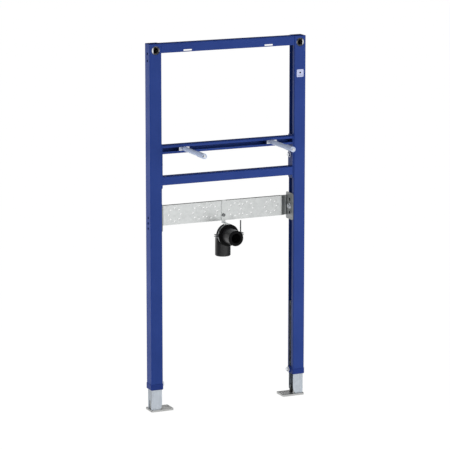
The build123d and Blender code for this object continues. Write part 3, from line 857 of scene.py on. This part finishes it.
class BASIN_FRAME_OT_bolts(PieceOperator, Operator):
    """Make the threaded bolts of legs, traverse and brackets, and finish nut plates and stud blocks"""

    bl_idname = "basin_frame.bolts"
    bl_label = "Hexagon bolts and blocks"

    def execute(self, context):
        dress("zinc_bolts", both("stud_block", "traverse_nut"))
        for label, body in SIDE_BOLTS.items():
            for side in SIDES:
                surfaces = [side_bolt(f"{side}_{label}")]
                if label == "bracket_bolt":
                    surfaces.append(bracket_nut(f"{side}_{label}"))
                add_piece(f"{side}_{label}_threaded", surfaces, body,
                          finish("zinc_bolts"), [f"{side}_{label}"])
        return {"FINISHED"}


class BASIN_FRAME_OT_anchor_washers(PieceOperator, Operator):
    """Make the washers in the round holes at the top corners"""

    bl_idname = "basin_frame.anchor_washers"
    bl_label = "Anchor washers"

    def execute(self, context):
        for label in both("anchor_washer"):
            add_piece(f"{label}_slotted", [washer_surface(label)], "frame",
                      finish("zinc_bolts"), [label])
        return {"FINISHED"}


class BASIN_FRAME_OT_studs(PieceOperator, Operator):
    """Make the basin studs with their bare threaded ends"""

    bl_idname = "basin_frame.studs"
    bl_label = "Basin studs"

    def execute(self, context):
        for side in SIDES:
            add_piece(f"{side}_stud_threaded", [stud_surface(f"{side}_stud")], f"{side}_basin_stud",
                      finish("zinc_bolts"), [f"{side}_stud"])
        return {"FINISHED"}


class BASIN_FRAME_OT_clip(PieceOperator, Operator):
    """Make the clip's ribbed lining and screws, and the hanger's bolt"""

    bl_idname = "basin_frame.clip"
    bl_label = "Pipe clip"

    def execute(self, context):
        add_piece("clip_lining_ribbed", [lining_surface()], "frame",
                  finish("black_rubber"), ["clip_lining"])
        # Clip screws and hanger bolt: zinc darkened as painted shade
        add_piece("clip_screws_threaded", clip_screw_surfaces(), "frame",
                  finish("galvanised_dull"), ["clip_screws"])
        add_piece("hanger_bolt_threaded", [hanger_bolt_surface()], "frame",
                  finish("galvanised_dull"), ["hanger_bolt"])
        return {"FINISHED"}


class BASIN_FRAME_OT_slit_lips(PieceOperator, Operator):
    """Make the lips under the top rail's slits"""

    bl_idname = "basin_frame.slit_lips"
    bl_label = "Slit lips"

    def execute(self, context):
        add_piece("top_rail_slit_lips", slit_lips(), "frame", finish("blue_paint"))
        return {"FINISHED"}


class BASIN_FRAME_OT_welds(PieceOperator, Operator):
    """Lay the weld beads behind the ends of the rails"""

    bl_idname = "basin_frame.welds"
    bl_label = "Weld beads"

    def execute(self, context):
        for rail, body in RAILS.items():
            add_piece(f"{rail}_welds", rail_beads(rail), body, finish("blue_paint"))
        return {"FINISHED"}


class BASIN_FRAME_OT_level_mark(PieceOperator, Operator):
    """Finish the level mark and print a plain dot over a line on it"""

    bl_idname = "basin_frame.level_mark"
    bl_label = "Level mark"

    def execute(self, context):
        dress("white_mark", ["level_mark"])
        add_piece("level_mark_print", mark_print(), "frame", finish("mark_print"))
        return {"FINISHED"}


class BASIN_FRAME_OT_stage(PieceOperator, Operator):
    """Set up floor, light and camera"""

    bl_idname = "basin_frame.stage"
    bl_label = "Stage"

    def execute(self, context):
        stage = settings("stage")
        add_floor(stage)
        light_world(stage)
        add_flags()
        add_lamps()
        add_camera(context.scene, stage)
        context.scene.view_settings.view_transform = "Standard"
        return {"FINISHED"}


# Stage

def seen_directly(tree):
    """One for camera, glossy and transmission rays, which see the background itself."""
    path = tree.nodes.new("ShaderNodeLightPath").outputs
    feeds = [(0, path["Is Camera Ray"]), (1, path["Is Glossy Ray"])]
    either = node(tree, "ShaderNodeMath", feeds, operation="MAXIMUM").outputs[0]
    feeds = [(0, either), (1, path["Is Transmission Ray"])]
    return node(tree, "ShaderNodeMath", feeds, operation="MAXIMUM").outputs[0]


def card(name, corners, material):
    """A flat stage card between four corners."""
    mesh = bpy.data.meshes.new(name)
    mesh.from_pydata(corners, [], [(0, 1, 2, 3)])
    mesh.materials.append(material)
    made = bpy.data.objects.new(name, mesh)
    bpy.context.scene.collection.objects.link(made)
    return made


def floor_level(gap):
    """Height of the floor: a gap under the feet when both legs are drawn out all the way."""
    joints = frame["record"]["behaviour"]["joints"]
    reach = max(joint["range_m"][1] for joint in joints if joint["name"].endswith("leg_slide"))
    return CAD_BOX[0].z - reach - gap


def add_floor(stage):
    """White floor: most of its white is its own, and the rest comes from light and takes the shadow."""
    made, tree, shader = matte("floor_white", (stage.shadow,) * 3)
    shader.inputs["Emission Color"].default_value = opaque((1.0 - stage.floor_light * stage.shadow,) * 3)
    tree.links.new(ranged(tree, seen_directly(tree), stage.ambient, 1.0), shader.inputs["Emission Strength"])
    half = stage.floor
    z = floor_level(stage.floor_gap)
    card("floor", [(-half, -half, z), (half, -half, z), (half, half, z), (-half, half, z)], made)


def light_world(stage):
    """White to the eye and in reflections, and a soft even light on everything else."""
    world = bpy.data.worlds.new("studio")
    bpy.context.scene.world = world
    world.use_nodes = True
    tree = world.node_tree
    background = tree.nodes["Background"]
    background.inputs["Color"].default_value = (1, 1, 1, 1)
    level = ranged(tree, seen_directly(tree), stage.ambient, 1.0)
    tree.links.new(level, background.inputs["Strength"])


def add_flags():
    """Dark cards out of the picture, for the dark sides in the reflections."""
    made = matte("flag_black", FLAG_TINT)[0]
    for name, (start, end, low, high) in FLAGS.items():
        flag = card(name, [(*start, low), (*end, low), (*end, high), (*start, high)], made)
        flag.visible_camera = False
        flag.visible_shadow = False
        flag.visible_diffuse = False


def add_lamps():
    """Two soft lamps in front, and a strip that lights the outer side of the left post."""
    for name, (place, width, height, power, mirrored) in LAMPS.items():
        data = bpy.data.lights.new(name, "AREA")
        data.shape = "RECTANGLE"
        data.size, data.size_y = width, height
        data.energy = power
        lamp = bpy.data.objects.new(name, data)
        bpy.context.scene.collection.objects.link(lamp)
        lamp.location = place
        lamp.rotation_euler = (Vector(LAMP_AIM) - Vector(place)).to_track_quat("-Z", "Y").to_euler()
        lamp.visible_camera = False
        lamp.visible_glossy = mirrored


def add_camera(scene, stage):
    """Camera at the photograph's angle, aimed at a point on the frame's front plane."""
    level = cos(stage.elevation)
    back = Vector((-sin(stage.azimuth) * level, -cos(stage.azimuth) * level, sin(stage.elevation)))
    data = bpy.data.cameras.new("camera")
    data.lens = stage.lens
    data.clip_end = stage.reach
    camera = bpy.data.objects.new("camera", data)
    scene.collection.objects.link(camera)
    camera.location = Vector((stage.aim_x, 0, stage.aim_z)) + stage.distance * back
    camera.rotation_euler = (-back).to_track_quat("-Z", "Y").to_euler()
    scene.camera = camera


# Add-on

class BASIN_FRAME_PT_sidebar(Panel):
    """Lists the steps and the settings of the basin frame"""

    bl_label = "Basin frame"
    bl_idname = "BASIN_FRAME_PT_sidebar"
    bl_space_type = "VIEW_3D"
    bl_region_type = "UI"
    bl_category = "Basin frame"

    def draw(self, context):
        for operator in OPERATORS:
            self.layout.operator(operator.bl_idname)
        for name, group in GROUPS.items():
            box = self.layout.box()
            for label in group.__annotations__:
                box.prop(settings(name), label)


GROUPS = {"finish": BasinFrameFinish, "detail": BasinFrameDetail, "stage": BasinFrameStage}
OPERATORS = (
    BASIN_FRAME_OT_painted,
    BASIN_FRAME_OT_galvanised,
    BASIN_FRAME_OT_plastics,
    BASIN_FRAME_OT_bolts,
    BASIN_FRAME_OT_anchor_washers,
    BASIN_FRAME_OT_studs,
    BASIN_FRAME_OT_clip,
    BASIN_FRAME_OT_slit_lips,
    BASIN_FRAME_OT_welds,
    BASIN_FRAME_OT_level_mark,
    BASIN_FRAME_OT_stage,
)
CLASSES = (*GROUPS.values(), *OPERATORS, BASIN_FRAME_PT_sidebar)


def register():
    """Make the classes known to Blender and hang the settings on the scene."""
    for made in CLASSES:
        bpy.utils.register_class(made)
    for name, group in GROUPS.items():
        setattr(bpy.types.Scene, PREFIX + name, PointerProperty(type=group))


def unregister():
    """Take settings and classes away again."""
    for name in GROUPS:
        delattr(bpy.types.Scene, PREFIX + name)
    for made in reversed(CLASSES):
        bpy.utils.unregister_class(made)


def main():
    """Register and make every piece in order."""
    register()
    bpy.ops.basin_frame.painted()
    bpy.ops.basin_frame.galvanised()
    bpy.ops.basin_frame.plastics()
    bpy.ops.basin_frame.bolts()
    bpy.ops.basin_frame.anchor_washers()
    bpy.ops.basin_frame.studs()
    bpy.ops.basin_frame.clip()
    bpy.ops.basin_frame.slit_lips()
    bpy.ops.basin_frame.welds()
    bpy.ops.basin_frame.level_mark()
    bpy.ops.basin_frame.stage()


if __name__ == "__main__":
    main()
